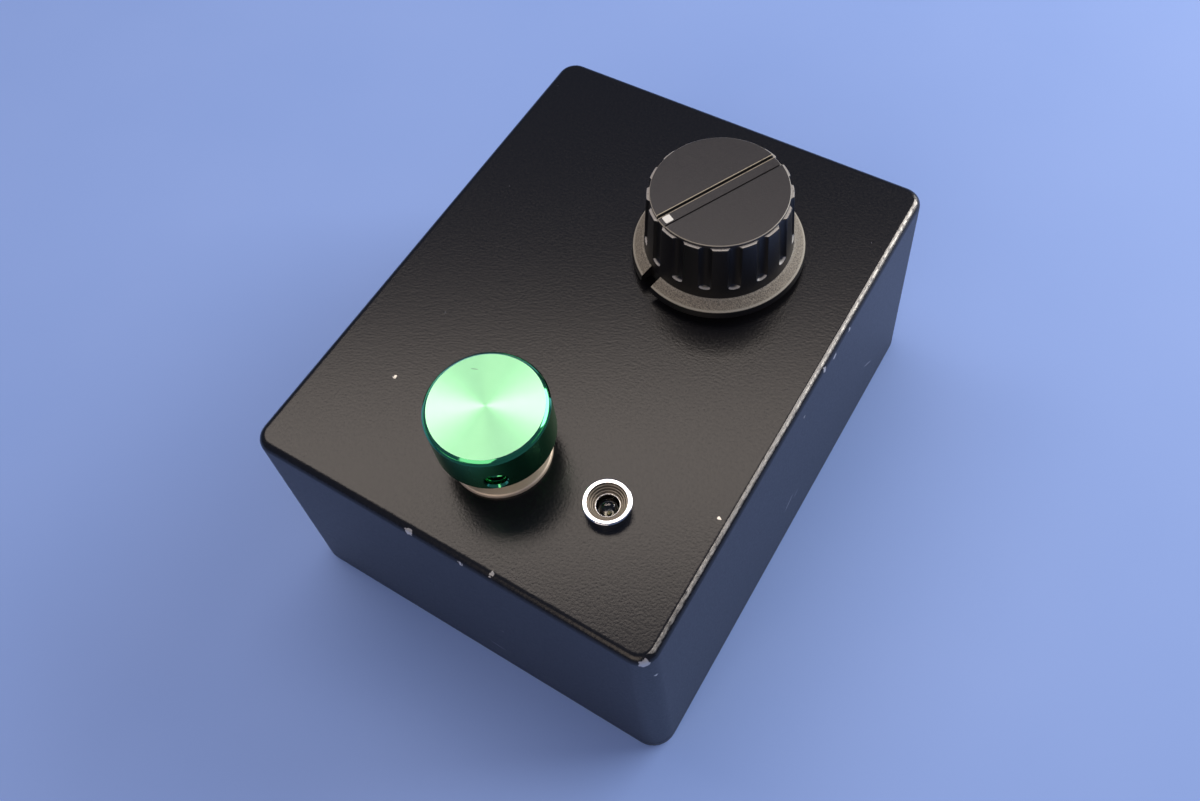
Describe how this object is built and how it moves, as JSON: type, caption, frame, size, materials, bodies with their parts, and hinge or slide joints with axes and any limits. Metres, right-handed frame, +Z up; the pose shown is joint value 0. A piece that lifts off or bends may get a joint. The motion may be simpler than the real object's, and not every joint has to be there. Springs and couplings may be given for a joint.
{
  "type": "bass preamp pedal",
  "caption": "Black cast-metal bass preamp box with a skirted fluted level knob, a footswitch under a green turned topper, an indicator lamp, and plug and power jacks on the rear.",
  "frame": {"origin": "middle of the lid's flat underside, on the surface that the box stands on", "axes": "+Z up through the panel, +Y towards the rear wall with the jacks, +X to the right as the player sees it"},
  "size_m": [0.094, 0.1247, 0.0743],
  "materials": {
    "black_enamel": "satin black enamel on die-cast aluminium",
    "steel_screw": "zinc-plated steel",
    "black_steel": "black oxide",
    "black_abs": "satin moulded",
    "white_inlay": "satin",
    "brass": "turned",
    "zinc_plate": "dull zinc plate",
    "rotor_nylon": "moulded",
    "phenolic": "punched laminate",
    "tinned_contact": "tin plate",
    "nickel": "satin nickel plate",
    "blue_plastic": "moulded",
    "spring_steel": "bright drawn",
    "green_anodised": "turned and green anodised",
    "chrome": "polished",
    "clear_epoxy": "water clear",
    "black_nylon": "moulded",
    "board_laminate": "solder mask",
    "capacitor_sleeve": "shrink sleeve",
    "film_box": "moulded",
    "resistor_enamel": "enamel",
    "wire_white": "extruded",
    "wire_black": "extruded",
    "wire_red": "extruded"
  },
  "bodies": {
    "case": {"enclosure_body": "black_enamel", "bottom_lid": "black_enamel", "lid_screws": "steel_screw", "pot_bush": "zinc_plate", "pot_can": "zinc_plate", "switch_bush": "zinc_plate", "board_pillars": "rotor_nylon", "pot_wafer": "phenolic", "pot_terminals": "tinned_contact", "switch_lugs": "tinned_contact", "input_jack_contacts": "tinned_contact", "output_jack_contacts": "tinned_contact", "power_jack_contact": "tinned_contact", "power_jack_pin": "tinned_contact", "led_leads": "tinned_contact", "pot_washer": "nickel", "pot_nut": "nickel", "switch_lock_nut": "nickel", "switch_washer": "nickel", "switch_nut": "nickel", "led_nut": "nickel", "input_jack_bush": "nickel", "input_jack_washer": "nickel", "input_jack_nut": "nickel", "output_jack_bush": "nickel", "output_jack_washer": "nickel", "output_jack_nut": "nickel", "switch_case": "blue_plastic", "switch_spring": "spring_steel", "led_bezel": "chrome", "led_lens": "clear_epoxy", "led_clip": "black_nylon", "input_jack_housing": "black_nylon", "output_jack_housing": "black_nylon", "power_jack_body": "black_nylon", "power_jack_nut": "black_nylon", "amplifier_chip": "black_nylon", "circuit_board": "board_laminate", "electrolytic_capacitors": "capacitor_sleeve", "film_capacitors": "film_box", "resistors": "resistor_enamel", "signal_wires": "wire_white", "ground_wires": "wire_black", "supply_wires": "wire_red"},
    "level_knob": {"knob_body": "black_abs", "knob_cap": "black_abs", "knob_marker": "white_inlay", "knob_collet": "brass", "collet_nut": "brass", "pot_shaft": "zinc_plate", "pot_rotor": "rotor_nylon"},
    "footswitch_button": {"switch_topper": "green_anodised", "topper_grub_screw": "black_steel", "switch_plunger": "nickel"}
  },
  "joints": [
    {"name": "knob_turn", "type": "hinge", "parent": "case", "child": "level_knob", "pos_m": [0.0137, 0.0239, 0.065], "axis": [0, 0, -1], "range_deg": [0, 300]},
    {"name": "footswitch_press", "type": "slide", "parent": "case", "child": "footswitch_button", "axis": [0, 0, -1], "range_m": [0, 0.0026], "stiffness_N_per_m": 2000, "springref_m": -0.002, "deforming": ["switch_spring"]}
  ]
}
